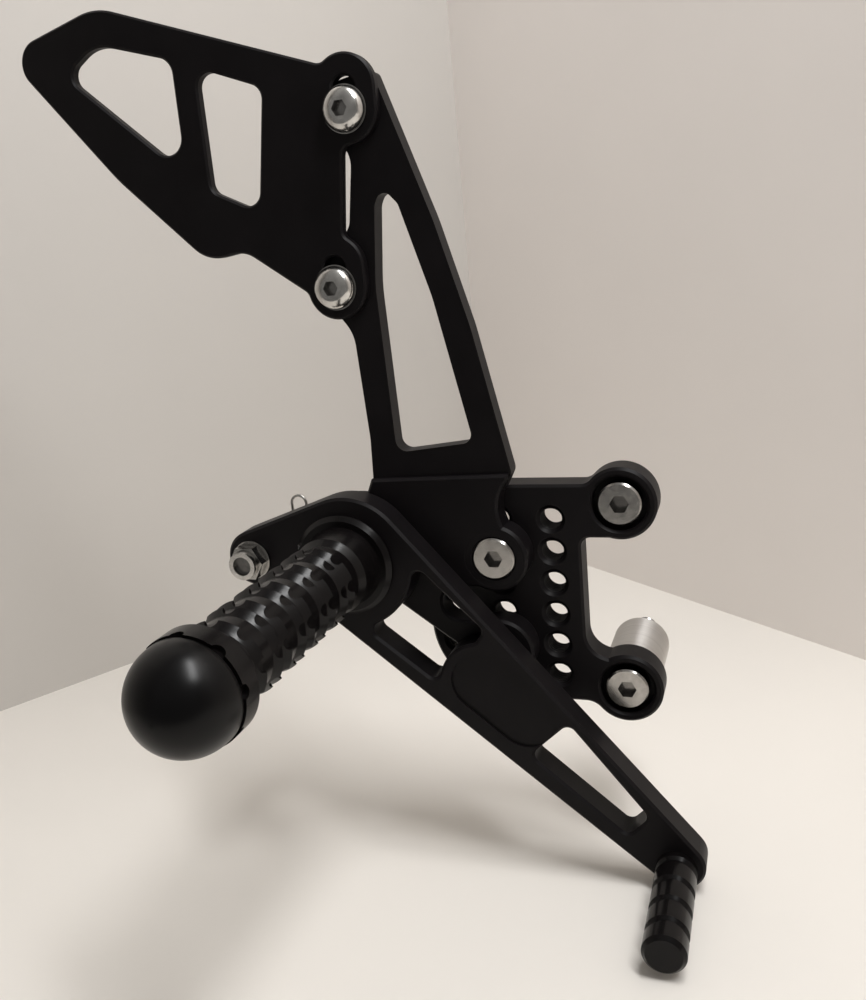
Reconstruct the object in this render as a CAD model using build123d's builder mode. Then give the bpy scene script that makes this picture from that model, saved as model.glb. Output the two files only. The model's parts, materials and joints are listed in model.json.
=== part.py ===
"""Right-hand rear set: base plate, peg carrier, heel guard, foot peg and swinging brake pedal.

Millimetres. X points forward, Y points inboard towards the frame, Z points up along the two frame
bolts. The origin lies on the upper frame bolt's axis at the plate's inner face. Outlines are drawn
as (X, Z) points about the middle of the two bolts, DATUM_Z below the origin, and heights are counted
outboard from the plate's inner face.
"""

import os
from math import acos, atan2, cos, degrees, hypot, radians, sin

from build123d import *

# Screw sizes
M8_R = 4.0
M8_THREAD_R = 3.7
M8_HEAD_R = 6.5
M8_HEAD_H = 5.0
M8_KEY = 5.0
M8_KEY_DEPTH = 3.0
M8_HEAD_EDGE = 0.5
M10_R = 5.0
M6_R = 3.0
M6_THREAD_R = 2.7
SCREW_PLAY = 0.25
SEAT_R = 8.2
SEAT_PROUD = 0.3

# Base plate
PLATE_T = 9.0
BOLT_PITCH = 59.0
BOSS_R = 11.0
PLATE_TOP = 35.5
PLATE_BOTTOM = -34.5
PLATE_FRONT = -12.0
PLATE_REAR = -61.5
PLATE_CORNER_LOW = 24.0
PLATE_CORNER_HIGH = 12.0
SCOOP_TOP = 19.0
SCOOP_BOTTOM = -20.0
SCOOP_R_TOP = 3.0
SCOOP_R_BOTTOM = 8.0
BOSS_BLEND_TOP = 4.0
BOSS_BLEND_BOTTOM = 6.0
GRID_X0 = -20.7
GRID_Z0 = 24.8
GRID_PITCH_X = 16.3
GRID_PITCH_Z = 10.1
GRID_COLUMNS = 3
GRID_ROWS = 6
EDGE = 0.8

# Peg carrier
PAD_T = 8.0
WING_T = 6.0
PIVOT = (-80.8, 16.0)
PAD_PIVOT_R = 18.0
EAR_R = 10.5
PAD_WEB = (
    (-74, 39.6), (-30.8, 40.7), (-33, 20), (-37, 14.7),
    (-37, -15.6), (-41, -21.1), (-74, 3.4), (-84, 16),
)
PAD_SCOOP = (-21.6, 30.0)
PAD_SCOOP_R = 13.0
NOTCH = (-49.0, 0.0)
NOTCH_R = 5.6
WING_OUTLINE = (
    ((-74.0, 36.0), 0),
    ((-73.4, 52.0), 20),
    ((-75.0, 84.0), 12),
    ((-84.0, 96.0), 6),
    ((-80.0, 108.0), 5),
    ((-72.8, 114.0), 5),
    ((-69.8, 134.0), 8),
    ((-77.0, 142.0), 5),
    ((-74.5, 153.0), 5),
    ((-61.4, 155.4), 2),
    ((-47.3, 114.0), 60),
    ((-39.0, 84.0), 60),
    ((-30.0, 41.0), 3),
    ((-32.5, 36.0), 0),
)
WING_WINDOW = (
    ((-62.0, 124.5), 2.5),
    ((-57.4, 119.5), 4),
    ((-49.6, 93.0), 40),
    ((-40.8, 50.2), 3),
    ((-65.2, 47.5), 3.5),
    ((-66.6, 97.0), 60),
    ((-64.4, 119.5), 4),
)

# Heel guard
GUARD_T = 3.0
GUARD_REAR = -179.0
GUARD_TOP = 182.9
GUARD_SCREW_HIGH = (-69.0, 145.6)
GUARD_SCREW_LOW = (-77.7, 97.8)
GUARD_SLOT_TRAVEL = 5.5
GUARD_SLOT_R = 3.3
GUARD_EAR_R = 9.3
GUARD_OUTLINE = (
    ((GUARD_REAR, GUARD_TOP - 8.3), 7),
    ((-144.5, GUARD_TOP), 20),
    ((-69.0, 155.8), 0),
    ((-74.7, 106.0), 0),
    ((-77.7, 97.8), 0),
    ((-84.0, 94.6), 0),
    ((-106.0, 110.2), 8),
    ((-119.0, 108.3), 12),
    ((-146.0, 134.5), 60),
)
GUARD_WINDOW_REAR = (
    ((GUARD_REAR + 20.5, GUARD_TOP - 17.2), 4),
    ((-146.5, GUARD_TOP - 9.9), 12),
    ((-121.8, 165.4), 5),
    ((-122.2, 133.8), 5),
)
GUARD_WINDOW_FRONT = (
    ((-114.2, 162.4), 4),
    ((-93.8, 154.4), 4),
    ((-99.5, 121.1), 4),
    ((-114.3, 128.2), 4),
)
GUARD_BLENDS = ((-75, 158), (-71.2, 136.6), (-74.1, 111.3), (-87, 97))
GUARD_BLEND_R = 3.0
GUARD_EDGE = 0.6
BUTTON_COLLAR_R = 6.5
BUTTON_COLLAR_T = 0.6
BUTTON_R = 6.2
BUTTON_H = 4.2
BUTTON_ROUND = 3.3
BUTTON_KEY = 4.0
BUTTON_KEY_DEPTH = 2.2

# Frame bolts and spacer
STUD_HIGH = 18.0
STUD_LOW = 14.0
STUD_TIP = 0.8
SPACER_R = 9.2
SPACER_L = 27.0
SPACER_EDGE = 0.8

# Pedal pivot
SIDE_PLAY = 0.3
RUNNING_PLAY = 0.05
INNER_WASHER_T = 1.2
INNER_WASHER_R = 14.0
SLEEVE_R = 8.0
BUSH_R = 10.0
HUB_WASHER_T = 2.5
HUB_WASHER_R = 15.7
HUB_WASHER_EDGE = 1.4
PEG_BOLT_HEAD_R = 8.0
PEG_BOLT_HEAD_H = 6.0
PEG_BOLT_KEY = 8.0
PEG_BOLT_KEY_DEPTH = 3.5
PEG_BOLT_WASHER_R = 9.5
PEG_BOLT_WASHER_T = 1.6
PEG_BOLT_BITE = 26.0

# Foot peg
ROOT_R = 12.5
NECK_R = 10.6
GRIP_R = 11.8
GROOVE_R = 10.4
FIRST_RING = 9.3
FIRST_PAIR = 17.9
PAIR_PITCH = 13.2
PAIR_COUNT = 5
PAIR_SPREAD = 4.8
RING_RISE = 0.5
RING_SLOPE = 2.5
DIMPLE_R = 1.8
DIMPLE_DEPTH = 1.3
DIMPLE_SET = 0.1
DIMPLES_ROUND = 8
DIMPLE_PHASE = 50.0
COLLAR_R = 14.2
COLLAR_T = 7.0
COLLAR_EDGE = 1.0
CAP_BORE_R = 8.0
CAP_BORE_DEPTH = 10.0
CAP_GAP = 0.7
CAP_R = 13.8
CAP_RIM = 1.0

# Brake pedal
PEDAL_T = 9.0
PEDAL_REACH = 134.4
PEDAL_DROP = 44.4
TOE = (
    PIVOT[0] + PEDAL_REACH * cos(radians(PEDAL_DROP)),
    PIVOT[1] - PEDAL_REACH * sin(radians(PEDAL_DROP)),
)
BAR_HUB = (-79.96, 16.86)
BAR_TOE = (TOE[0] + 0.7, TOE[1] + 0.7)
BAR_HUB_R = 19.8
BAR_TOE_R = 7.7
ROD_EYE = (-112.3, 17.0)
ROD_EYE_R = 8.8
REAR_WINDOW = ((-64.3, 21.6), (-38.8, -4.6), (-47.3, -16), (-47.3, -28), (-80.3, -2.1))
REAR_WINDOW_HUB_R = 21.0
MID_EYE = (-40.35, -22.0)
MID_EYE_R = 13.5
FRONT_WINDOW = (
    (-15, -33.1), (-27.2, -44.3), (TOE[0] - 14.0, TOE[1] + 9.4), (TOE[0] - 7.5, TOE[1] + 15.9),
)
WINDOW_R = 2.6
POCKET_ENDS = ((-40.6, -21.3), (-27.8, -32.0))
POCKET_R = 9.6
POCKET_DEPTH = 0.8
TOE_PEG_R = 6.1
TOE_PEG_L = 37.8
TOE_GROOVE_FIRST = 3.6
TOE_GROOVE_PITCH = 8.9
TOE_GROOVES = 4
TOE_GROOVE_W = 2.8
TOE_GROOVE_D = 0.8
TOE_EDGE = 1.1
TOE_SCREW_HEAD_R = 5.0
TOE_SCREW_HEAD_H = 3.0
TOE_SCREW_BITE = 12.0
TOE_KEY = 4.0
TOE_KEY_DEPTH = 1.8

# Rod pin, nut and clip
PIN_COLLAR_R = 5.0
PIN_COLLAR_T = 1.5
PIN_REACH = 23.0
PIN_TIP = 0.6
PIN_STICKOUT = 6.2
NUT_FLANGE_R = 6.2
NUT_FLANGE_T = 1.2
NUT_FLATS = 10.0
NUT_HEX_H = 4.0
NUT_COLLAR_R = 4.4
NUT_COLLAR_H = 2.4
CLIP_WIRE_R = 0.5
CLIP_PLAY = 0.1
CLIP_INSET = 3.5
CLIP_EYE_R = 2.7
CLIP_EYE_Z = 9.6
CLIP_TAIL = 6.0
CLIP_HUG = 55.0
CLIP_FLARE_R = 2.5
CLIP_FLARE = 75.0

# Stack heights counted outboard
PAD_FACE = PLATE_T + PAD_T
WING_FACE = PLATE_T + WING_T
GUARD_FACE = WING_FACE + GUARD_T
PEDAL_BACK = PAD_FACE + INNER_WASHER_T + SIDE_PLAY
PEDAL_FACE = PEDAL_BACK + PEDAL_T
SLEEVE_END = PEDAL_FACE + SIDE_PLAY
PEG_BACK = SLEEVE_END + HUB_WASHER_T
RING_TIPS = [
    PEG_BACK + FIRST_PAIR + PAIR_PITCH * pair + shift
    for pair in range(PAIR_COUNT) for shift in (0, PAIR_SPREAD)
]
COLLAR_BACK = RING_TIPS[-1] + RING_SLOPE
COLLAR_FACE = COLLAR_BACK + COLLAR_T
PLATE_SEAT = PLATE_T - M8_HEAD_H + SEAT_PROUD
PAD_SEAT = PAD_FACE - M8_HEAD_H + SEAT_PROUD
DATUM_Z = BOLT_PITCH / 2
UPPER_BOLT = (0, BOLT_PITCH / 2)
LOWER_BOLT = (0, -BOLT_PITCH / 2)
GRID = [
    [(GRID_X0 - GRID_PITCH_X * column, GRID_Z0 - GRID_PITCH_Z * row) for row in range(GRID_ROWS)]
    for column in range(GRID_COLUMNS)
]
CARRIER_BOLTS = [GRID[GRID_COLUMNS // 2][1], GRID[GRID_COLUMNS // 2][-2]]


def face_plane(height, centre=(0, 0)):
    """Sketch plane that looks outboard, at a height and with its origin over a point."""
    return Plane(origin=(centre[0], -height, centre[1] - DATUM_Z), x_dir=(1, 0, 0), z_dir=(0, -1, 0))


def turning_plane(centre):
    """Half-section plane of a turned part: local x is the radius, local y the height."""
    return Plane(origin=(centre[0], 0, centre[1] - DATUM_Z), x_dir=(0, 0, 1), z_dir=(1, 0, 0))


def turning_axis(centre):
    """Outboard axis through a point."""
    return Axis((centre[0], 0, centre[1] - DATUM_Z), (0, -1, 0))


def disc(centre, low, high, radius, mode=Mode.ADD):
    """Round bar on an outboard axis between two heights."""
    with Locations(face_plane(low, centre)):
        Cylinder(radius, high - low, align=(Align.CENTER, Align.CENTER, Align.MIN), mode=mode)


def prism(outline, low, high, mode=Mode.ADD):
    """Plate between two heights, its corners each rounded to their own radius."""
    with BuildSketch(face_plane(low)) as section:
        Polygon(*[point for point, radius in outline], align=None)
        for point, radius in outline:
            if radius:
                fillet(section.vertices().sort_by_distance(point)[0], radius)
    extrude(section.sketch, amount=high - low, mode=mode)


def tapered_bar(ends, low, high, mode=Mode.ADD):
    """Plate between two heights whose outline wraps round two circles."""
    with BuildSketch(face_plane(low)) as section:
        for centre, radius in ends:
            with Locations(centre):
                Circle(radius)
        make_hull()
    extrude(section.sketch, amount=high - low, mode=mode)


def key_socket(centre, top, flats, depth):
    """Six-sided key socket sunk from a height."""
    with BuildSketch(face_plane(top - depth, centre)) as section:
        RegularPolygon(flats / 2, 6, major_radius=False)
    extrude(section.sketch, amount=depth, mode=Mode.SUBTRACT)


def outer_edges(part):
    """Edges round the outboard face of a flat part."""
    return part.faces().filter_by(Axis.Y).sort_by(Axis.Y)[0].edges()


def cone(centre, low, high, radius_low, radius_high, mode=Mode.ADD):
    """Tapered round bar on an outboard axis between two heights."""
    with Locations(face_plane(low, centre)):
        Cone(radius_low, radius_high, high - low, align=(Align.CENTER, Align.CENTER, Align.MIN), mode=mode)


def cap_screw(centre, seat, neck, tip):
    """Low cap head screw with a key socket, plain down to the neck and threaded from there to the tip."""
    top = seat + M8_HEAD_H
    disc(centre, neck, seat, M8_R)
    disc(centre, tip + STUD_TIP, neck, M8_THREAD_R)
    cone(centre, tip, tip + STUD_TIP, M8_THREAD_R - STUD_TIP, M8_THREAD_R)
    disc(centre, seat, top - M8_HEAD_EDGE, M8_HEAD_R)
    cone(centre, top - M8_HEAD_EDGE, top, M8_HEAD_R, M8_HEAD_R - M8_HEAD_EDGE)
    key_socket(centre, top, M8_KEY, M8_KEY_DEPTH)


def turned(centre, profile):
    """Solid of revolution on an outboard axis from (radius, height) points."""
    with BuildSketch(turning_plane(centre)) as half:
        Polygon(*profile, align=None)
    revolve(half.sketch, axis=turning_axis(centre))


os.makedirs("parts", exist_ok=True)

# Base plate with its bosses, bolt seats and tapped grid
with BuildPart() as base_plate:
    with BuildSketch(face_plane(0)) as plate_outline:
        with Locations(((PLATE_REAR + UPPER_BOLT[0]) / 2, (PLATE_TOP + PLATE_BOTTOM) / 2)):
            Rectangle(UPPER_BOLT[0] - PLATE_REAR, PLATE_TOP - PLATE_BOTTOM)
        rear_corners = plate_outline.vertices().group_by(Axis.X)[0].sort_by(Axis.Y)
        fillet(rear_corners[0], PLATE_CORNER_LOW)
        fillet(rear_corners[1], PLATE_CORNER_HIGH)
        with Locations((PLATE_FRONT, SCOOP_BOTTOM)):
            scoop_height = SCOOP_TOP - SCOOP_BOTTOM
            scoop_width = SCOOP_R_BOTTOM * 2 - PLATE_FRONT
            RectangleRounded(
                scoop_width, scoop_height - SCOOP_R_BOTTOM, SCOOP_R_BOTTOM,
                align=(Align.MIN, Align.MIN), mode=Mode.SUBTRACT,
            )
        with Locations((PLATE_FRONT, SCOOP_TOP)):
            RectangleRounded(
                scoop_width, scoop_height - SCOOP_R_BOTTOM, SCOOP_R_TOP,
                align=(Align.MIN, Align.MAX), mode=Mode.SUBTRACT,
            )
        with Locations(UPPER_BOLT, LOWER_BOLT):
            Circle(BOSS_R)
        blend_top = (-(BOSS_R**2 - (PLATE_TOP - UPPER_BOLT[1]) ** 2) ** 0.5, PLATE_TOP)
        fillet(plate_outline.vertices().sort_by_distance(blend_top)[0], BOSS_BLEND_TOP)
        blend_bottom = (-(BOSS_R**2 - (PLATE_BOTTOM - LOWER_BOLT[1]) ** 2) ** 0.5, PLATE_BOTTOM)
        fillet(plate_outline.vertices().sort_by_distance(blend_bottom)[0], BOSS_BLEND_BOTTOM)
    extrude(amount=PLATE_T)
    for column in GRID:
        for hole in column:
            if hole != GRID[-1][-1]:
                disc(hole, 0, PLATE_T, M8_THREAD_R, Mode.SUBTRACT)
    for bolt in (UPPER_BOLT, LOWER_BOLT):
        disc(bolt, 0, PLATE_T, M8_R + SCREW_PLAY, Mode.SUBTRACT)
        disc(bolt, PLATE_SEAT, PLATE_T, SEAT_R, Mode.SUBTRACT)
    chamfer(outer_edges(base_plate.part), EDGE)
base_plate.part.label = "base_plate"
export_step(base_plate.part, "parts/base_plate.step")

# Peg carrier: thick pad with two ears and a thinner upright wing
with BuildPart() as peg_carrier:
    with BuildSketch(face_plane(PLATE_T)) as pad_outline:
        Polygon(*PAD_WEB, align=None)
        with Locations(PIVOT):
            Circle(PAD_PIVOT_R)
        with Locations(PAD_SCOOP):
            Circle(PAD_SCOOP_R, mode=Mode.SUBTRACT)
        with Locations(NOTCH):
            Circle(NOTCH_R, mode=Mode.SUBTRACT)
            Rectangle(-NOTCH[0], NOTCH_R * 2, align=(Align.MIN, Align.CENTER), mode=Mode.SUBTRACT)
        with Locations(*CARRIER_BOLTS):
            Circle(EAR_R)
    extrude(amount=PAD_T)
    for bolt in CARRIER_BOLTS:
        disc(bolt, PLATE_T, PAD_FACE, M8_R + SCREW_PLAY, Mode.SUBTRACT)
        disc(bolt, PAD_SEAT, PAD_FACE, SEAT_R, Mode.SUBTRACT)
    disc(PIVOT, PLATE_T, PAD_FACE, M10_R + SCREW_PLAY, Mode.SUBTRACT)
    chamfer(outer_edges(peg_carrier.part), EDGE)
    prism(WING_OUTLINE, PLATE_T, WING_FACE)
    prism(WING_WINDOW, PLATE_T, WING_FACE, Mode.SUBTRACT)
    for screw in (GUARD_SCREW_HIGH, GUARD_SCREW_LOW):
        disc(screw, PLATE_T, WING_FACE, M6_THREAD_R, Mode.SUBTRACT)
peg_carrier.part.label = "peg_carrier"
export_step(peg_carrier.part, "parts/peg_carrier.step")

# Heel guard with two windows and two adjusting slots
with BuildPart() as heel_guard:
    slots = [(x, z + GUARD_SLOT_TRAVEL / 2) for x, z in (GUARD_SCREW_HIGH, GUARD_SCREW_LOW)]
    with BuildSketch(face_plane(WING_FACE)) as guard_outline:
        Polygon(*[point for point, radius in GUARD_OUTLINE], align=None)
        for point, radius in GUARD_OUTLINE:
            if radius:
                fillet(guard_outline.vertices().sort_by_distance(point)[0], radius)
        with Locations(*slots):
            SlotCenterToCenter(GUARD_SLOT_TRAVEL, GUARD_EAR_R * 2, rotation=90)
        for point in GUARD_BLENDS:
            fillet(guard_outline.vertices().sort_by_distance(point)[0], GUARD_BLEND_R)
        with Locations(*slots):
            SlotCenterToCenter(GUARD_SLOT_TRAVEL, GUARD_SLOT_R * 2, rotation=90, mode=Mode.SUBTRACT)
    extrude(amount=GUARD_T)
    prism(GUARD_WINDOW_REAR, WING_FACE, GUARD_FACE, Mode.SUBTRACT)
    prism(GUARD_WINDOW_FRONT, WING_FACE, GUARD_FACE, Mode.SUBTRACT)
    chamfer(outer_edges(heel_guard.part), GUARD_EDGE)
heel_guard.part.label = "heel_guard"
export_step(heel_guard.part, "parts/heel_guard.step")

# Collared button screws of the heel guard
with BuildPart() as heel_guard_screws:
    for screw in (GUARD_SCREW_HIGH, GUARD_SCREW_LOW):
        disc(screw, PLATE_T, GUARD_FACE, M6_THREAD_R)
        disc(screw, GUARD_FACE, GUARD_FACE + BUTTON_COLLAR_T, BUTTON_COLLAR_R)
        disc(screw, GUARD_FACE + BUTTON_COLLAR_T, GUARD_FACE + BUTTON_H, BUTTON_R)
    fillet(heel_guard_screws.faces().filter_by(Axis.Y).group_by(Axis.Y)[0].edges(), BUTTON_ROUND)
    for screw in (GUARD_SCREW_HIGH, GUARD_SCREW_LOW):
        key_socket(screw, GUARD_FACE + BUTTON_H, BUTTON_KEY, BUTTON_KEY_DEPTH)
heel_guard_screws.part.label = "heel_guard_screws"
export_step(heel_guard_screws.part, "parts/heel_guard_screws.step")

# Upper frame bolt
with BuildPart() as frame_bolt_upper:
    cap_screw(UPPER_BOLT, PLATE_SEAT, 0, -STUD_HIGH)
frame_bolt_upper.part.label = "frame_bolt_upper"
export_step(frame_bolt_upper.part, "parts/frame_bolt_upper.step")

# Lower frame bolt, longer by the spacer
with BuildPart() as frame_bolt_lower:
    cap_screw(LOWER_BOLT, PLATE_SEAT, -SPACER_L, -SPACER_L - STUD_LOW)
frame_bolt_lower.part.label = "frame_bolt_lower"
export_step(frame_bolt_lower.part, "parts/frame_bolt_lower.step")

# Turned spacer behind the lower boss
with BuildPart() as frame_spacer:
    disc(LOWER_BOLT, -SPACER_L, 0, SPACER_R)
    chamfer(frame_spacer.edges().filter_by(GeomType.CIRCLE), SPACER_EDGE)
    disc(LOWER_BOLT, -SPACER_L, 0, M8_R + SCREW_PLAY, Mode.SUBTRACT)
frame_spacer.part.label = "frame_spacer"
export_step(frame_spacer.part, "parts/frame_spacer.step")

# Two bolts from the carrier's ears into the plate
with BuildPart() as carrier_bolts:
    for bolt in CARRIER_BOLTS:
        cap_screw(bolt, PAD_SEAT, PLATE_T, 0)
carrier_bolts.part.label = "carrier_bolts"
export_step(carrier_bolts.part, "parts/carrier_bolts.step")

# Sleeve that the pedal swings on
with BuildPart() as pivot_sleeve:
    disc(PIVOT, PAD_FACE, SLEEVE_END, SLEEVE_R)
    disc(PIVOT, PAD_FACE, SLEEVE_END, M10_R + SCREW_PLAY, Mode.SUBTRACT)
pivot_sleeve.part.label = "pivot_sleeve"
export_step(pivot_sleeve.part, "parts/pivot_sleeve.step")

# Washer between carrier and pedal
with BuildPart() as inner_thrust_washer:
    disc(PIVOT, PAD_FACE, PAD_FACE + INNER_WASHER_T, INNER_WASHER_R)
    disc(PIVOT, PAD_FACE, PAD_FACE + INNER_WASHER_T, SLEEVE_R, Mode.SUBTRACT)
inner_thrust_washer.part.label = "inner_thrust_washer"
export_step(inner_thrust_washer.part, "parts/inner_thrust_washer.step")

# Bevelled washer between pedal and peg
with BuildPart() as hub_washer:
    disc(PIVOT, SLEEVE_END, PEG_BACK - HUB_WASHER_EDGE, HUB_WASHER_R)
    cone(PIVOT, PEG_BACK - HUB_WASHER_EDGE, PEG_BACK, HUB_WASHER_R, HUB_WASHER_R - HUB_WASHER_EDGE)
    disc(PIVOT, SLEEVE_END, PEG_BACK, M10_R + SCREW_PLAY, Mode.SUBTRACT)
hub_washer.part.label = "hub_washer"
export_step(hub_washer.part, "parts/hub_washer.step")

# Foot peg: one plain ring, then ring pairs bitten by round dimples milled in from the side
with BuildPart() as foot_peg:
    first_tip = PEG_BACK + FIRST_RING
    grip = [(0, PEG_BACK), (ROOT_R, PEG_BACK), (NECK_R, first_tip - RING_RISE)]
    grip += [(GRIP_R, first_tip), (GROOVE_R, first_tip + RING_SLOPE)]
    for tip in RING_TIPS:
        grip += [(GROOVE_R, tip - RING_RISE), (GRIP_R, tip), (GROOVE_R, tip + RING_SLOPE)]
    grip += [(COLLAR_R - COLLAR_EDGE, COLLAR_BACK), (COLLAR_R, COLLAR_BACK + COLLAR_EDGE)]
    grip += [(COLLAR_R, COLLAR_FACE), (0, COLLAR_FACE)]
    turned(PIVOT, grip)
    dimple_rows = [(tip + DIMPLE_SET, GRIP_R - DIMPLE_DEPTH) for tip in RING_TIPS]
    dimple_rows += [(COLLAR_FACE, COLLAR_R - DIMPLE_DEPTH)]
    dimples = []
    for height, floor in dimple_rows:
        for step in range(DIMPLES_ROUND):
            angle = radians(DIMPLE_PHASE + 360 * step / DIMPLES_ROUND)
            out = (cos(angle), 0, sin(angle))
            origin = (PIVOT[0] + floor * out[0], -height, PIVOT[1] - DATUM_Z + floor * out[2])
            dimples.append(Plane(origin=origin, x_dir=(0, -1, 0), z_dir=out))
    with Locations(*dimples):
        Cylinder(
            DIMPLE_R, DIMPLE_DEPTH * 2, align=(Align.CENTER, Align.CENTER, Align.MIN), mode=Mode.SUBTRACT
        )
    disc(PIVOT, PEG_BACK, PEG_BACK + PEG_BOLT_BITE, M10_R, Mode.SUBTRACT)
    disc(PIVOT, COLLAR_FACE - CAP_BORE_DEPTH, COLLAR_FACE, CAP_BORE_R, Mode.SUBTRACT)
foot_peg.part.label = "foot_peg"
export_step(foot_peg.part, "parts/foot_peg.step")

# Bolt through carrier, sleeve and washer into the peg
with BuildPart() as peg_bolt:
    bolt_seat = PLATE_T - PEG_BOLT_WASHER_T
    disc(PIVOT, bolt_seat - PEG_BOLT_HEAD_H, bolt_seat, PEG_BOLT_HEAD_R)
    disc(PIVOT, bolt_seat, PEG_BACK + PEG_BOLT_BITE, M10_R)
    key_socket(PIVOT, bolt_seat - PEG_BOLT_HEAD_H + PEG_BOLT_KEY_DEPTH, PEG_BOLT_KEY, PEG_BOLT_KEY_DEPTH)
peg_bolt.part.label = "peg_bolt"
export_step(peg_bolt.part, "parts/peg_bolt.step")

# Washer under the peg bolt's head
with BuildPart() as peg_bolt_washer:
    disc(PIVOT, PLATE_T - PEG_BOLT_WASHER_T, PLATE_T, PEG_BOLT_WASHER_R)
    disc(PIVOT, PLATE_T - PEG_BOLT_WASHER_T, PLATE_T, M10_R + SCREW_PLAY, Mode.SUBTRACT)
peg_bolt_washer.part.label = "peg_bolt_washer"
export_step(peg_bolt_washer.part, "parts/peg_bolt_washer.step")

# Domed end cap with a spigot in the peg
with BuildPart() as end_cap:
    cap_seat = COLLAR_FACE + CAP_GAP
    with BuildSketch(turning_plane(PIVOT)):
        with BuildLine():
            dome_start = (CAP_R, cap_seat + CAP_RIM)
            dome_top = (0, cap_seat + CAP_RIM + CAP_R)
            Polyline(
                dome_top, (0, COLLAR_FACE - CAP_BORE_DEPTH), (CAP_BORE_R, COLLAR_FACE - CAP_BORE_DEPTH),
                (CAP_BORE_R, cap_seat), (CAP_R, cap_seat), dome_start,
            )
            RadiusArc(dome_start, dome_top, -CAP_R)
        make_face()
    revolve(axis=turning_axis(PIVOT))
end_cap.part.label = "end_cap"
export_step(end_cap.part, "parts/end_cap.step")

# Brake pedal: hub, long bar to the toe, short arm to the rod, windows and a shallow pocket
with BuildPart() as brake_pedal:
    tapered_bar(((BAR_HUB, BAR_HUB_R), (BAR_TOE, BAR_TOE_R)), PEDAL_BACK, PEDAL_FACE)
    tapered_bar(((BAR_HUB, BAR_HUB_R), (ROD_EYE, ROD_EYE_R)), PEDAL_BACK, PEDAL_FACE)
    with BuildSketch(face_plane(PEDAL_BACK)) as rear_window:
        Polygon(*REAR_WINDOW, align=None)
        with Locations(PIVOT):
            Circle(REAR_WINDOW_HUB_R, mode=Mode.SUBTRACT)
        with Locations(MID_EYE):
            Circle(MID_EYE_R, mode=Mode.SUBTRACT)
        fillet(rear_window.vertices(), WINDOW_R)
    extrude(amount=PEDAL_T, mode=Mode.SUBTRACT)
    prism([(corner, WINDOW_R) for corner in FRONT_WINDOW], PEDAL_BACK, PEDAL_FACE, Mode.SUBTRACT)
    chamfer(outer_edges(brake_pedal.part), EDGE)
    disc(PIVOT, PEDAL_BACK, PEDAL_FACE, BUSH_R, Mode.SUBTRACT)
    disc(ROD_EYE, PEDAL_BACK, PEDAL_FACE, M6_R, Mode.SUBTRACT)
    disc(TOE, PEDAL_BACK, PEDAL_FACE, M6_R, Mode.SUBTRACT)
    cone(TOE, PEDAL_BACK, PEDAL_BACK + TOE_SCREW_HEAD_H, TOE_SCREW_HEAD_R, M6_R, Mode.SUBTRACT)
    pocket_ends = [(end, POCKET_R) for end in POCKET_ENDS]
    tapered_bar(pocket_ends, PEDAL_FACE - POCKET_DEPTH, PEDAL_FACE, Mode.SUBTRACT)
brake_pedal.part.label = "brake_pedal"
export_step(brake_pedal.part, "parts/brake_pedal.step")

# Bearing bush pressed in the pedal's hub
with BuildPart() as pivot_bush:
    disc(PIVOT, PEDAL_BACK, PEDAL_FACE, BUSH_R)
    disc(PIVOT, PEDAL_BACK, PEDAL_FACE, SLEEVE_R + RUNNING_PLAY, Mode.SUBTRACT)
pivot_bush.part.label = "pivot_bush"
export_step(pivot_bush.part, "parts/pivot_bush.step")

# Grooved toe peg
with BuildPart() as toe_peg:
    toe_tip = PEDAL_FACE + TOE_PEG_L
    knurl = [(0, PEDAL_FACE), (TOE_PEG_R, PEDAL_FACE)]
    for ring in range(TOE_GROOVES):
        groove = PEDAL_FACE + TOE_GROOVE_FIRST + TOE_GROOVE_PITCH * ring
        knurl += [(TOE_PEG_R, groove - TOE_GROOVE_W / 2)]
        knurl += [(TOE_PEG_R - TOE_GROOVE_D, groove - TOE_GROOVE_W / 6)]
        knurl += [(TOE_PEG_R - TOE_GROOVE_D, groove + TOE_GROOVE_W / 6)]
        knurl += [(TOE_PEG_R, groove + TOE_GROOVE_W / 2)]
    knurl += [(TOE_PEG_R, toe_tip - TOE_EDGE), (TOE_PEG_R - TOE_EDGE, toe_tip), (0, toe_tip)]
    turned(TOE, knurl)
    disc(TOE, PEDAL_FACE, PEDAL_FACE + TOE_SCREW_BITE, M6_R, Mode.SUBTRACT)
toe_peg.part.label = "toe_peg"
export_step(toe_peg.part, "parts/toe_peg.step")

# Countersunk screw of the toe peg, let into the pedal's rear face
with BuildPart() as toe_peg_screw:
    cone(TOE, PEDAL_BACK, PEDAL_BACK + TOE_SCREW_HEAD_H, TOE_SCREW_HEAD_R, M6_R)
    disc(TOE, PEDAL_BACK + TOE_SCREW_HEAD_H, PEDAL_FACE + TOE_SCREW_BITE, M6_R)
    key_socket(TOE, PEDAL_BACK + TOE_KEY_DEPTH, TOE_KEY, TOE_KEY_DEPTH)
toe_peg_screw.part.label = "toe_peg_screw"
export_step(toe_peg_screw.part, "parts/toe_peg_screw.step")

# Rod pin through the pedal's rear arm, cross-drilled for the clip
with BuildPart() as rod_pin:
    pin_end = PEDAL_BACK - PIN_COLLAR_T - PIN_REACH
    clip_height = pin_end + CLIP_INSET
    cone(ROD_EYE, pin_end, pin_end + PIN_TIP, M6_R - PIN_TIP, M6_R)
    disc(ROD_EYE, pin_end + PIN_TIP, PEDAL_FACE + PIN_STICKOUT, M6_R)
    disc(ROD_EYE, PEDAL_BACK - PIN_COLLAR_T, PEDAL_BACK, PIN_COLLAR_R)
    with Locations((ROD_EYE[0], -clip_height, ROD_EYE[1] - DATUM_Z)):
        Cylinder(CLIP_WIRE_R, M6_R * 4, mode=Mode.SUBTRACT)
rod_pin.part.label = "rod_pin"
export_step(rod_pin.part, "parts/rod_pin.step")

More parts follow.
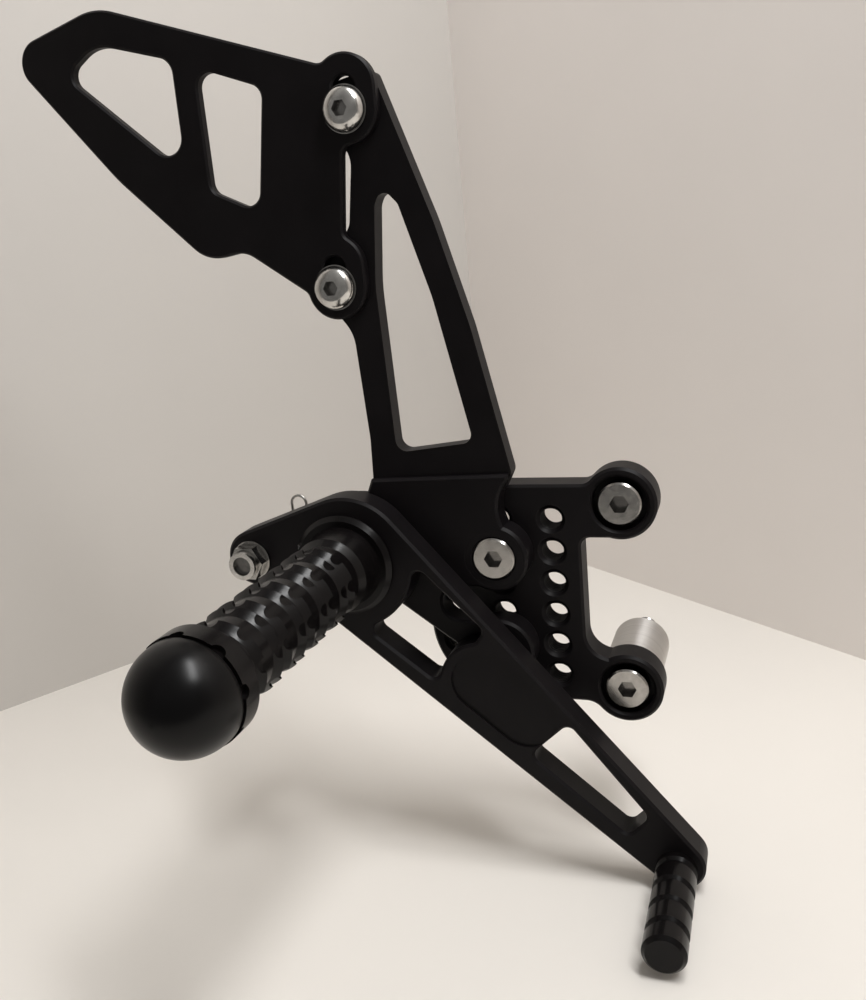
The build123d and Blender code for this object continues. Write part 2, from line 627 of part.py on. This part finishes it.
# Flanged lock nut on the rod pin
with BuildPart() as rod_pin_nut:
    nut_hex = PEDAL_FACE + NUT_FLANGE_T
    nut_top = nut_hex + NUT_HEX_H
    disc(ROD_EYE, PEDAL_FACE, nut_hex, NUT_FLANGE_R)
    with BuildSketch(face_plane(nut_hex, ROD_EYE)):
        RegularPolygon(NUT_FLATS / 2, 6, major_radius=False)
    extrude(amount=NUT_HEX_H)
    disc(ROD_EYE, nut_top, nut_top + NUT_COLLAR_H, NUT_COLLAR_R)
    disc(ROD_EYE, PEDAL_FACE, nut_top + NUT_COLLAR_H, M6_R, Mode.SUBTRACT)
rod_pin_nut.part.label = "rod_pin_nut"
export_step(rod_pin_nut.part, "parts/rod_pin_nut.step")

# Hairpin clip: straight leg through the pin, round eye, spring leg hugging the pin
with BuildPart() as hairpin_clip:
    hug_r = M6_R + CLIP_WIRE_R + CLIP_PLAY
    lean = acos((hug_r - CLIP_EYE_R) / hypot(CLIP_EYE_R, CLIP_EYE_Z)) - atan2(CLIP_EYE_Z, CLIP_EYE_R)
    with BuildLine(face_plane(clip_height, ROD_EYE)) as wire:
        leg = Line((0, -CLIP_TAIL), (0, CLIP_EYE_Z))
        eye = JernArc(leg @ 1, leg % 1, CLIP_EYE_R, -180 - degrees(lean))
        spring = Line(eye @ 1, (hug_r * cos(lean), -hug_r * sin(lean)))
        hug = JernArc(spring @ 1, spring % 1, hug_r, -CLIP_HUG)
        JernArc(hug @ 1, hug % 1, CLIP_FLARE_R, CLIP_FLARE)
    with BuildSketch(Plane(origin=wire.line @ 0, z_dir=wire.line % 0)):
        Circle(CLIP_WIRE_R)
    sweep(path=wire.line)
hairpin_clip.part.label = "hairpin_clip"
export_step(hairpin_clip.part, "parts/hairpin_clip.step")
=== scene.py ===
"""Looks for the brake-side rear set: finishes, threads, seat rings, stage, light and camera.

Metres, in the frame of the CAD part: X forward, Y inboard, Z up, origin on the upper frame bolt.
"""

import json
import math

import bpy
import bmesh
from mathutils import Matrix, Vector


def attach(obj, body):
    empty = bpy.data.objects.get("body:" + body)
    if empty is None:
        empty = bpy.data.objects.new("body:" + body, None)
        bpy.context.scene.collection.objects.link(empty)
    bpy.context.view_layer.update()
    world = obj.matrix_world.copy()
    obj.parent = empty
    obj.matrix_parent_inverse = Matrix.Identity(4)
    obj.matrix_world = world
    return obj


MM = 0.001

# Camera at the photograph's viewing angle
CAMERA_AT = Vector((43.6, -288.0, 80.3)) * MM
CAMERA_RIGHT = Vector((0.9445, 0.3158, -0.0909))
CAMERA_UP = Vector((0.0015, 0.2726, 0.9621))
CAMERA_NEAR = 10 * MM
FOCAL_PX = 990.0
IMAGE_HEIGHT_PX = 1000.0
SENSOR_MM = 36.0

# Pale floor that ends a little in front of the object, and two walls, each from the corner
# through a second floor point (X, Y)
FLOOR_Z = -115.5 * MM
FLOOR_HALF = 1500 * MM
FLOOR_FRONT = -330 * MM
FLOOR_COLOUR = (0.78, 0.746, 0.697)
FLOOR_ROUGHNESS = 0.6
WALL_CORNER = (-140 * MM, 325 * MM)
WALL_LEFT = (-300 * MM, 42 * MM)
WALL_RIGHT = (80 * MM, 146 * MM)
WALL_REACH = 4.0
WALL_HEIGHT = 1.2
LEFT_COLOUR = (0.56, 0.534, 0.503)
RIGHT_COLOUR = (0.86, 0.813, 0.777)
WALL_ROUGHNESS = 0.7
STAGE_NOISE = 6
STAGE_TONES = (0.97, 1.02)

# Long soft lamp that runs from above the object to the front right
STRIP_BACK = Vector((0.046, 0.015, 0.738))
STRIP_FRONT = Vector((0.386, -0.346, 0.630))
STRIP_WIDTH = 0.10
STRIP_POWER = 5.2
LIT_POINT = Vector((-0.06, 0.0, 0.0))

# Room light, its strength at the horizon and overhead
ROOM_COLOUR = (0.80, 0.78, 0.75)
ROOM_LEVEL = 0.24
CEILING_LEVEL = 0.45

# Screw threads: half widths of a ridge's foot and crest as shares of the pitch, steps in one turn,
# and steps over which a ridge runs out
THREAD_PITCH = 1.25 * MM
THREAD_FLANK = 0.42
THREAD_FLAT = 0.1
THREAD_STEPS = 32
THREAD_RUN_OUT = 8

# Free ends of the frame bolts: axis as (X, Z), start and end along Y
STUD_ROOT_R = 3.65 * MM
STUD_CREST_R = 4.0 * MM
STUDS = (
    ((0.0, 0.0), 0.8 * MM, 16.8 * MM),
    ((0.0, -59.0 * MM), 27.8 * MM, 39.8 * MM),
)

# Tapped holes of the plate as (column, row) from the first one; the taken ones get no thread
HOLE_ROOT_R = 3.75 * MM
HOLE_CREST_R = 3.25 * MM
HOLE_SPAN = (-8.55 * MM, -0.45 * MM)
HOLE_FIRST = (-20.7 * MM, -4.7 * MM)
HOLE_PITCH = (16.3 * MM, 10.1 * MM)
HOLE_COLUMNS = 3
HOLE_ROWS = 6
CARRIER_HOLES = ((1, 1), (1, 4))
HOLES_TAKEN = (*CARRIER_HOLES, (2, 5))

# Rings that close the carrier bolts' seats round their heads: (radius, Y) section
SEAT_RING_STEPS = 64
SEAT_RING = (
    (6.75 * MM, -12.35 * MM),
    (8.15 * MM, -12.35 * MM),
    (8.15 * MM, -16.2 * MM),
    (8.95 * MM, -16.97 * MM),
    (7.05 * MM, -16.97 * MM),
    (6.75 * MM, -16.7 * MM),
)

# Angle above which an edge of the threads and rings stays sharp
CREASE_ANGLE = math.radians(30)

# Finishes
BLACK = (0.0056, 0.0046, 0.0051)
TURNED_BLACK = (0.0034, 0.0028, 0.0029)
STEEL = (0.64, 0.625, 0.60)
HEAD_STEEL = (0.41, 0.395, 0.375)
HEAD_STEEL_NODES = ("frame_bolt_upper", "frame_bolt_lower", "carrier_bolts")
# Painted shade on the screw steels: the colour that sockets and corners darken to, and how far the
# darkening reaches
SOCKET_SHADE = (0.03, 0.027, 0.025)
SOCKET_SHADE_REACH = 4 * MM
DARK_STEEL = (0.16, 0.155, 0.15)
ALUMINIUM = (0.62, 0.605, 0.585)
BRONZE = (0.48, 0.30, 0.13)
CAP_BLACK = (0.0014, 0.0012, 0.0014)
CAP_ROUNDING = 1.2 * MM

# Noise values between which a colour goes from its darker to its lighter tone
TONE_ENDS = (0.3, 0.7)

# Noise stretched into marks that run round the Y axis
LATHE_MARKS = (0.02, 1, 0.02)


def new_material(name):
    """Node material with a Principled shader."""
    material = bpy.data.materials.new(name)
    material.use_nodes = True
    shader = material.node_tree.nodes["Principled BSDF"]
    return material, material.node_tree, shader


def object_noise(tree, scale, detail=3.0, stretch=(1, 1, 1)):
    """Noise in object space, stretched along chosen axes."""
    coordinates = tree.nodes.new("ShaderNodeTexCoord")
    mapping = tree.nodes.new("ShaderNodeMapping")
    mapping.inputs["Scale"].default_value = stretch
    noise = tree.nodes.new("ShaderNodeTexNoise")
    noise.inputs["Scale"].default_value = scale
    noise.inputs["Detail"].default_value = detail
    tree.links.new(coordinates.outputs["Object"], mapping.inputs["Vector"])
    tree.links.new(mapping.outputs["Vector"], noise.inputs["Vector"])
    return noise.outputs["Fac"]


def remap(tree, value, low, high):
    """Spread a 0 to 1 value over a new range."""
    node = tree.nodes.new("ShaderNodeMapRange")
    node.inputs["To Min"].default_value = low
    node.inputs["To Max"].default_value = high
    tree.links.new(value, node.inputs["Value"])
    return node.outputs["Result"]


def toned(tree, value, colour, tones):
    """Ramp from a darker to a lighter tone of a colour, given as two factors."""
    ramp = tree.nodes.new("ShaderNodeValToRGB")
    for element, position, factor in zip(ramp.color_ramp.elements, TONE_ENDS, tones):
        element.position = position
        element.color = (*[channel * factor for channel in colour], 1)
    tree.links.new(value, ramp.inputs["Fac"])
    return ramp.outputs["Color"]


def drifting(name, colour, tones, roughness, **noise):
    """Material whose colour and roughness drift with a noise, and its parts."""
    material, tree, shader = new_material(name)
    drift = object_noise(tree, **noise)
    tree.links.new(toned(tree, drift, colour, tones), shader.inputs["Base Color"])
    tree.links.new(remap(tree, drift, *roughness), shader.inputs["Roughness"])
    return material, tree, shader, drift


def add_bump(tree, shader, value, strength, distance):
    """Small surface relief from a value."""
    bump = tree.nodes.new("ShaderNodeBump")
    bump.inputs["Strength"].default_value = strength
    bump.inputs["Distance"].default_value = distance
    tree.links.new(value, bump.inputs["Height"])
    tree.links.new(bump.outputs["Normal"], shader.inputs["Normal"])


def add_painted_shade(tree, shader, dark, reach):
    """Paint shade into a shader's colour: darken it in sockets and corners by ambient occlusion."""
    unshaded_colour = shader.inputs["Base Color"].links[0].from_socket
    corners = tree.nodes.new("ShaderNodeAmbientOcclusion")
    corners.inputs["Distance"].default_value = reach
    blend = tree.nodes.new("ShaderNodeMix")
    blend.data_type = "RGBA"
    blend.inputs["A"].default_value = (*dark, 1)
    tree.links.new(corners.outputs["AO"], blend.inputs["Factor"])
    tree.links.new(unshaded_colour, blend.inputs["B"])
    tree.links.new(blend.outputs["Result"], shader.inputs["Base Color"])


def anodised_black():
    """Bead-blasted aluminium under black anodising."""
    material, tree, shader, _ = drifting(
        "anodised_black", BLACK, tones=(0.85, 1.2), roughness=(0.38, 0.52), scale=60,
    )
    shader.inputs["Specular IOR Level"].default_value = 0.12
    grain = object_noise(tree, scale=2600, detail=2)
    add_bump(tree, shader, grain, strength=0.12, distance=0.05 * MM)
    return material


def turned_black():
    """Black anodising over fine lathe marks."""
    material, tree, shader, _ = drifting(
        "turned_black", TURNED_BLACK, tones=(0.85, 1.2), roughness=(0.20, 0.27), scale=140,
    )
    shader.inputs["Specular IOR Level"].default_value = 0.18
    rings = object_noise(tree, scale=2400, detail=2, stretch=LATHE_MARKS)
    add_bump(tree, shader, rings, strength=0.25, distance=0.04 * MM)
    return material


def plated_steel(name, colour):
    """Zinc-plated screw steel with faint cold-heading marks, and painted shade darkening its sockets and
    corners.
    """
    material, tree, shader, _ = drifting(
        name, colour, tones=(0.8, 1.1), roughness=(0.13, 0.23), scale=420,
    )
    # Painted shade: sockets and corners darkened by ambient occlusion
    add_painted_shade(tree, shader, SOCKET_SHADE, SOCKET_SHADE_REACH)
    shader.inputs["Metallic"].default_value = 1.0
    grain = object_noise(tree, scale=3000, detail=2)
    add_bump(tree, shader, grain, strength=0.15, distance=0.05 * MM)
    return material


def turned_aluminium():
    """Satin turned aluminium with a streak along its length."""
    material, tree, shader, rings = drifting(
        "turned_aluminium", ALUMINIUM, tones=(0.88, 1.05), roughness=(0.30, 0.42),
        scale=900, detail=2, stretch=LATHE_MARKS,
    )
    shader.inputs["Metallic"].default_value = 1.0
    shader.inputs["Anisotropic"].default_value = 0.85
    shader.inputs["Anisotropic Rotation"].default_value = 0.25
    around = tree.nodes.new("ShaderNodeTangent")
    around.direction_type = "RADIAL"
    around.axis = "Y"
    tree.links.new(around.outputs["Tangent"], shader.inputs["Tangent"])
    add_bump(tree, shader, rings, strength=0.2, distance=0.05 * MM)
    return material


def cap_plastic():
    """Moulded black plastic with a soft shine, its normals smoothed over the dome and rim."""
    material, tree, shader, _ = drifting(
        "cap_plastic", CAP_BLACK, tones=(0.9, 1.15), roughness=(0.26, 0.31), scale=90,
    )
    shader.inputs["Specular IOR Level"].default_value = 0.19
    smoothing = tree.nodes.new("ShaderNodeBevel")
    smoothing.inputs["Radius"].default_value = CAP_ROUNDING
    tree.links.new(smoothing.outputs["Normal"], shader.inputs["Normal"])
    return material


def bearing_bronze():
    """Turned bearing bronze."""
    material, _, shader, _ = drifting(
        "bearing_bronze", BRONZE, tones=(0.8, 1.1), roughness=(0.3, 0.45),
        scale=900, detail=2, stretch=LATHE_MARKS,
    )
    shader.inputs["Metallic"].default_value = 1.0
    return material


def clip_wire():
    """Drawn spring wire."""
    material, _, shader, _ = drifting(
        "clip_wire", STEEL, tones=(0.6, 0.85), roughness=(0.25, 0.38), scale=500,
    )
    shader.inputs["Metallic"].default_value = 1.0
    return material


def dark_steel():
    """Turned steel with a dark oxide skin."""
    material, _, shader, _ = drifting(
        "dark_steel", DARK_STEEL, tones=(0.8, 1.15), roughness=(0.32, 0.46), scale=500,
    )
    shader.inputs["Metallic"].default_value = 1.0
    return material


def dress(frame, materials):
    """Give every CAD node the finish of its record slot, and the cap-head bolts their greyer steel."""
    slots = {entry["node"]: entry["material_slot"] for entry in frame["record"]["subparts"]}
    for name, node in frame["nodes"].items():
        finish = "head_steel" if name in HEAD_STEEL_NODES else slots[name]
        node.data.materials.clear()
        node.data.materials.append(materials[finish])


def standing(right, up, back, at):
    """Placement from three axes and a point."""
    columns = zip(right, up, back, at)
    return Matrix((*[tuple(row) for row in columns], (0, 0, 0, 1)))


def add_section(shape, axis, turn, section):
    """Corners of a (radius, Y) section at one turn round an axis along Y."""
    return [
        shape.verts.new((
            axis[0] + radius * math.cos(turn),
            along,
            axis[1] + radius * math.sin(turn),
        ))
        for radius, along in section
    ]


def join_sections(shape, one, two):
    """Quads between two sections that follow each other."""
    for corner in range(len(one)):
        after = (corner + 1) % len(one)
        shape.faces.new((one[corner], one[after], two[after], two[corner]))


def add_thread(shape, axis, start, end, root, crest):
    """Helical thread ridge along Y that runs out at both ends; a smaller crest radius turns it inwards."""
    steps = int((end - start) / THREAD_PITCH * THREAD_STEPS)
    flank = THREAD_FLANK * THREAD_PITCH
    flat = THREAD_FLAT * THREAD_PITCH
    rows = []
    for step in range(steps + 1):
        middle = start + THREAD_PITCH * step / THREAD_STEPS
        grown = min(1.0, step / THREAD_RUN_OUT, (steps - step) / THREAD_RUN_OUT)
        top = root + (crest - root) * grown
        section = (
            (root, middle - flank), (top, middle - flat), (top, middle + flat), (root, middle + flank),
        )
        rows.append(add_section(shape, axis, 2 * math.pi * step / THREAD_STEPS, section))
    for one, two in zip(rows, rows[1:]):
        join_sections(shape, one, two)
    shape.faces.new(rows[0])
    shape.faces.new(rows[-1])


def add_ring(shape, axis, section):
    """Closed ring round an axis along Y from a (radius, Y) section."""
    rows = [
        add_section(shape, axis, 2 * math.pi * step / SEAT_RING_STEPS, section)
        for step in range(SEAT_RING_STEPS)
    ]
    for one, two in zip(rows, rows[1:] + rows[:1]):
        join_sections(shape, one, two)


def fixed_piece(name, shape, material):
    """Make a piece of a finished shape and fix it to the bracket."""
    bmesh.ops.recalc_face_normals(shape, faces=shape.faces)
    mesh = bpy.data.meshes.new(name)
    shape.to_mesh(mesh)
    shape.free()
    mesh.polygons.foreach_set("use_smooth", [True] * len(mesh.polygons))
    mesh.set_sharp_from_angle(angle=CREASE_ANGLE)
    mesh.materials.append(material)
    piece = bpy.data.objects.new(name, mesh)
    bpy.context.scene.collection.objects.link(piece)
    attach(piece, "bracket")


def hole_axis(column, row):
    """Axis of one of the plate's tapped holes as (X, Z)."""
    return (HOLE_FIRST[0] - HOLE_PITCH[0] * column, HOLE_FIRST[1] - HOLE_PITCH[1] * row)


def build_threads(materials):
    """Threads on the frame bolts' free ends and in the plate's open tapped holes."""
    studs = bmesh.new()
    for stud in STUDS:
        add_thread(studs, *stud, STUD_ROOT_R, STUD_CREST_R)
    fixed_piece("stud_threads", studs, materials["head_steel"])
    holes = bmesh.new()
    for column in range(HOLE_COLUMNS):
        for row in range(HOLE_ROWS):
            if (column, row) not in HOLES_TAKEN:
                add_thread(holes, hole_axis(column, row), *HOLE_SPAN, HOLE_ROOT_R, HOLE_CREST_R)
    fixed_piece("plate_hole_threads", holes, materials["anodised_black"])


def build_seat_rings(materials):
    """Close fit of the carrier bolts' heads in their seats."""
    rings = bmesh.new()
    for hole in CARRIER_HOLES:
        add_ring(rings, hole_axis(*hole), SEAT_RING)
    fixed_piece("carrier_seat_rings", rings, materials["anodised_black"])


def stage_plane(name, corners, colour, roughness):
    """Flat stage piece through four corners."""
    mesh = bpy.data.meshes.new(name)
    mesh.from_pydata(corners, [], [(0, 1, 2, 3)])
    piece = bpy.data.objects.new(name, mesh)
    bpy.context.scene.collection.objects.link(piece)
    material, tree, shader = new_material(name)
    cloud = object_noise(tree, STAGE_NOISE)
    tree.links.new(toned(tree, cloud, colour, STAGE_TONES), shader.inputs["Base Color"])
    shader.inputs["Roughness"].default_value = roughness
    mesh.materials.append(material)
    return tree, shader


def far_end(start, through):
    """Point far along the line from one floor point through another."""
    direction = (Vector(through) - Vector(start)).normalized() * WALL_REACH
    return (start[0] + direction.x, start[1] + direction.y)


def wall(name, start, end, colour):
    """Upright stage wall whose front faces the object and whose back is clear."""
    top = FLOOR_Z + WALL_HEIGHT
    corners = [(*start, FLOOR_Z), (*end, FLOOR_Z), (*end, top), (*start, top)]
    tree, shader = stage_plane(name, corners, colour, WALL_ROUGHNESS)
    side = tree.nodes.new("ShaderNodeNewGeometry")
    clear = tree.nodes.new("ShaderNodeBsdfTransparent")
    mix = tree.nodes.new("ShaderNodeMixShader")
    factor, front, back = mix.inputs
    tree.links.new(side.outputs["Backfacing"], factor)
    tree.links.new(shader.outputs["BSDF"], front)
    tree.links.new(clear.outputs["BSDF"], back)
    tree.links.new(mix.outputs["Shader"], tree.nodes["Material Output"].inputs["Surface"])


def build_stage():
    """Pale floor and two plain walls meeting behind the object."""
    half = FLOOR_HALF
    ends = ((-half, FLOOR_FRONT), (half, FLOOR_FRONT), (half, half), (-half, half))
    stage_plane("floor", [(*end, FLOOR_Z) for end in ends], FLOOR_COLOUR, FLOOR_ROUGHNESS)
    wall("wall_left", far_end(WALL_CORNER, WALL_LEFT), WALL_CORNER, LEFT_COLOUR)
    wall("wall_right", WALL_CORNER, far_end(WALL_CORNER, WALL_RIGHT), RIGHT_COLOUR)


def build_lamp():
    """Long overhead strip lamp that faces the object."""
    run = STRIP_FRONT - STRIP_BACK
    at = (STRIP_FRONT + STRIP_BACK) / 2
    lamp = bpy.data.lights.new("strip", "AREA")
    lamp.shape = "RECTANGLE"
    lamp.size = run.length
    lamp.size_y = STRIP_WIDTH
    lamp.energy = STRIP_POWER
    lamp_object = bpy.data.objects.new("strip", lamp)
    back = (at - LIT_POINT).normalized()
    side = (run - back * run.dot(back)).normalized()
    lamp_object.matrix_world = standing(side, back.cross(side), back, at)
    bpy.context.scene.collection.objects.link(lamp_object)


def build_room():
    """Room light that grows from the horizon to the ceiling."""
    world = bpy.data.worlds.new("studio")
    world.use_nodes = True
    tree = world.node_tree
    background = tree.nodes["Background"]
    background.inputs["Color"].default_value = (*ROOM_COLOUR, 1)
    direction = tree.nodes.new("ShaderNodeTexCoord")
    split = tree.nodes.new("ShaderNodeSeparateXYZ")
    tree.links.new(direction.outputs["Generated"], split.inputs["Vector"])
    strength = remap(tree, split.outputs["Z"], ROOM_LEVEL, CEILING_LEVEL)
    tree.links.new(strength, background.inputs["Strength"])
    bpy.context.scene.world = world


def build_camera():
    """Camera solved from the photograph."""
    data = bpy.data.cameras.new("camera")
    data.sensor_width = SENSOR_MM
    data.lens = FOCAL_PX / IMAGE_HEIGHT_PX * SENSOR_MM
    data.clip_start = CAMERA_NEAR
    camera = bpy.data.objects.new("camera", data)
    right = CAMERA_RIGHT.normalized()
    up = (CAMERA_UP - right * CAMERA_UP.dot(right)).normalized()
    camera.matrix_world = standing(right, up, right.cross(up), CAMERA_AT)
    bpy.context.scene.collection.objects.link(camera)
    bpy.context.scene.camera = camera


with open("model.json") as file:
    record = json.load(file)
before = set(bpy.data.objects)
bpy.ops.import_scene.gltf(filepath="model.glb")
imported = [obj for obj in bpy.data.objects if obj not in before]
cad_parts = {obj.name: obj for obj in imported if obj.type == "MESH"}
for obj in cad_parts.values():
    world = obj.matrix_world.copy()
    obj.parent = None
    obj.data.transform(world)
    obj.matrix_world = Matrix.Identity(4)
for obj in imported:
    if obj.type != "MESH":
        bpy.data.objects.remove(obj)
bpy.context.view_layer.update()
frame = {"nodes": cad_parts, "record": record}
bpy.context.scene.view_settings.view_transform = "Standard"
finishes = {
    "anodised_black": anodised_black(),
    "turned_black": turned_black(),
    "screw_steel": plated_steel("screw_steel", STEEL),
    "head_steel": plated_steel("head_steel", HEAD_STEEL),
    "turned_aluminium": turned_aluminium(),
    "cap_plastic": cap_plastic(),
    "bearing_bronze": bearing_bronze(),
    "clip_wire": clip_wire(),
    "dark_steel": dark_steel(),
}
dress(frame, finishes)
build_threads(finishes)
build_seat_rings(finishes)
build_stage()
build_lamp()
build_room()
build_camera()
